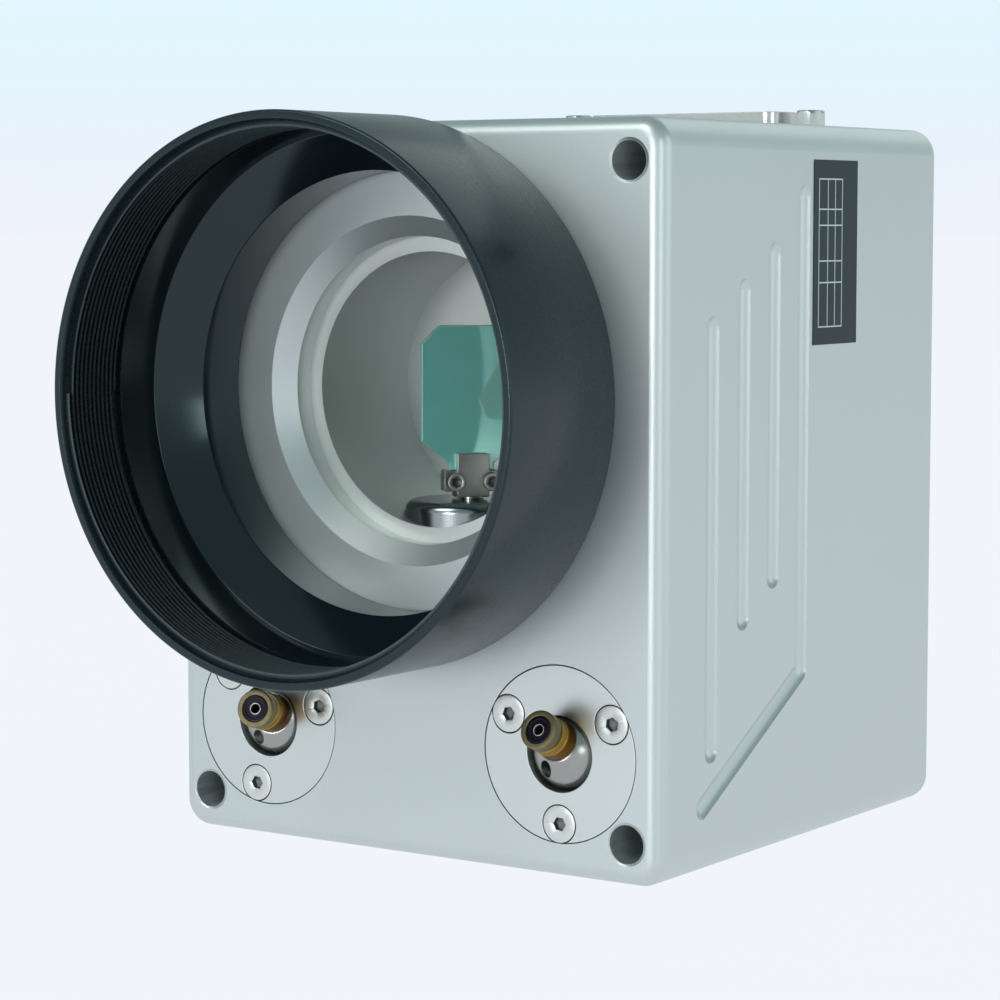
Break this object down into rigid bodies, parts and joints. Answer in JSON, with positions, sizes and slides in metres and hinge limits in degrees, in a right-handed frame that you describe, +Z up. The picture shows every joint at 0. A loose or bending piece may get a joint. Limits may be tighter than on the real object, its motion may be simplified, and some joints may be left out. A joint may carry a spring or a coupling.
{
  "type": "galvo scanner head",
  "caption": "Box-shaped laser scan head with a threaded round lens adapter, steering mirrors inside, tiltable aiming pointers and a D-shaped connector on top.",
  "frame": {"origin": "centre of the housing's flat bottom face", "axes": "+Z up, -Y out through the lens adapter along the scanned beam, +X to the right seen from the front"},
  "size_m": [0.0972, 0.12, 0.1205],
  "materials": {
    "housing": "bead-blasted, clear anodised, fine grain",
    "cover": "brushed sheet, clear anodised",
    "adapter": "turned, black anodised, satin outside and glossy inside",
    "block": "machined, clear anodised, fine tool marks",
    "gasket": "matt black sheet rubber",
    "black_screw": "black oxide",
    "bright_screw": "zinc plated, light satin",
    "connector_metal": "tin-plated steel, bright",
    "insulator": "black glass-filled moulding",
    "gold": "gold-plated contacts",
    "label": "black vinyl with white rules",
    "motor_case": "turned stainless, polished nose",
    "coil": "varnished copper winding",
    "steel": "ground steel",
    "magnet": "nickel-plated magnet",
    "cap": "black moulding",
    "clamp": "machined, bright",
    "y_mirror": "dielectric coated, teal sheen",
    "x_mirror": "dielectric coated, warm sheen",
    "plate": "machined flat, clear anodised",
    "plate_screw": "flat ground heads, light satin",
    "seat": "white low-friction plastic",
    "ball": "polished turned steel",
    "barrel": "turned brass, greenish gold lacquer",
    "cell": "black moulded lens cell",
    "board": "green solder-masked laminate",
    "parts": "black moulded parts",
    "post": "turned brass"
  },
  "bodies": {
    "head": {"housing": "housing", "back_cover": "cover", "cover_gasket": "gasket", "cover_screws": "bright_screw", "lens_adapter": "adapter", "scanner_block": "block", "block_screws": "black_screw", "motor_clamp_screws": "black_screw", "connector_shell": "connector_metal", "connector_insulator": "insulator", "connector_pins": "gold", "jackscrews": "bright_screw", "jack_nuts": "bright_screw", "rating_label": "label", "x_motor_body": "motor_case", "x_motor_coil": "coil", "x_motor_bearings": "steel", "x_sensor_cap": "cap", "x_servo_board": "board", "x_board_parts": "parts", "x_board_posts": "post", "y_motor_body": "motor_case", "y_motor_coil": "coil", "y_motor_bearings": "steel", "y_sensor_cap": "cap", "y_servo_board": "board", "y_board_parts": "parts", "y_board_posts": "post", "right_plate": "plate", "right_plate_screws": "plate_screw", "left_plate": "plate", "left_plate_screws": "plate_screw"},
    "x_rotor": {"x_rotor_shaft": "steel", "x_rotor_magnet": "magnet", "x_clamp_base": "clamp", "x_clamp_jaw": "clamp", "x_clamp_screws": "bright_screw", "x_mirror": "x_mirror"},
    "y_rotor": {"y_rotor_shaft": "steel", "y_rotor_magnet": "magnet", "y_clamp_base": "clamp", "y_clamp_jaw": "clamp", "y_clamp_screws": "bright_screw", "y_mirror": "y_mirror"},
    "right_swivel": {"right_seat_ring": "seat"},
    "right_pointer": {"right_ball": "ball", "right_barrel": "barrel", "right_diode": "steel"},
    "right_focus": {"right_lens_cell": "cell"},
    "left_swivel": {"left_seat_ring": "seat"},
    "left_pointer": {"left_ball": "ball", "left_barrel": "barrel", "left_diode": "steel"},
    "left_focus": {"left_lens_cell": "cell"}
  },
  "joints": [
    {"name": "x_scan", "type": "hinge", "parent": "head", "child": "x_rotor", "pos_m": [0.0095, -0.0206, 0.0742], "axis": [0, -1, 0], "range_deg": [-12.5, 12.5]},
    {"name": "y_scan", "type": "hinge", "parent": "head", "child": "y_rotor", "pos_m": [-0.0055, -0.0206, 0.0742], "axis": [0, 0, 1], "range_deg": [-12.5, 12.5]},
    {"name": "right_swing", "type": "hinge", "parent": "head", "child": "right_swivel", "pos_m": [0.0288, -0.0415, 0.0194], "axis": [0, 1, 0], "range_deg": [-90, 90]},
    {"name": "right_tilt", "type": "hinge", "parent": "right_swivel", "child": "right_pointer", "pos_m": [0.0288, -0.0415, 0.0194], "axis": [0.9994, 0, -0.0349], "range_deg": [-2, 50]},
    {"name": "right_lens_turn", "type": "hinge", "parent": "right_pointer", "child": "right_focus", "pos_m": [0.0288, -0.0415, 0.0194], "axis": [0.0142, -0.9135, 0.4065], "range_deg": [-180, 180]},
    {"name": "left_swing", "type": "hinge", "parent": "head", "child": "left_swivel", "pos_m": [-0.0288, -0.0415, 0.0194], "axis": [0, 1, 0], "range_deg": [-90, 90]},
    {"name": "left_tilt", "type": "hinge", "parent": "left_swivel", "child": "left_pointer", "pos_m": [-0.0288, -0.0415, 0.0194], "axis": [0.682, 0, -0.7314], "range_deg": [-4.5, 47.5]},
    {"name": "left_lens_turn", "type": "hinge", "parent": "left_pointer", "child": "left_focus", "pos_m": [-0.0288, -0.0415, 0.0194], "axis": [0.268, -0.9304, 0.25], "range_deg": [-180, 180]}
  ]
}
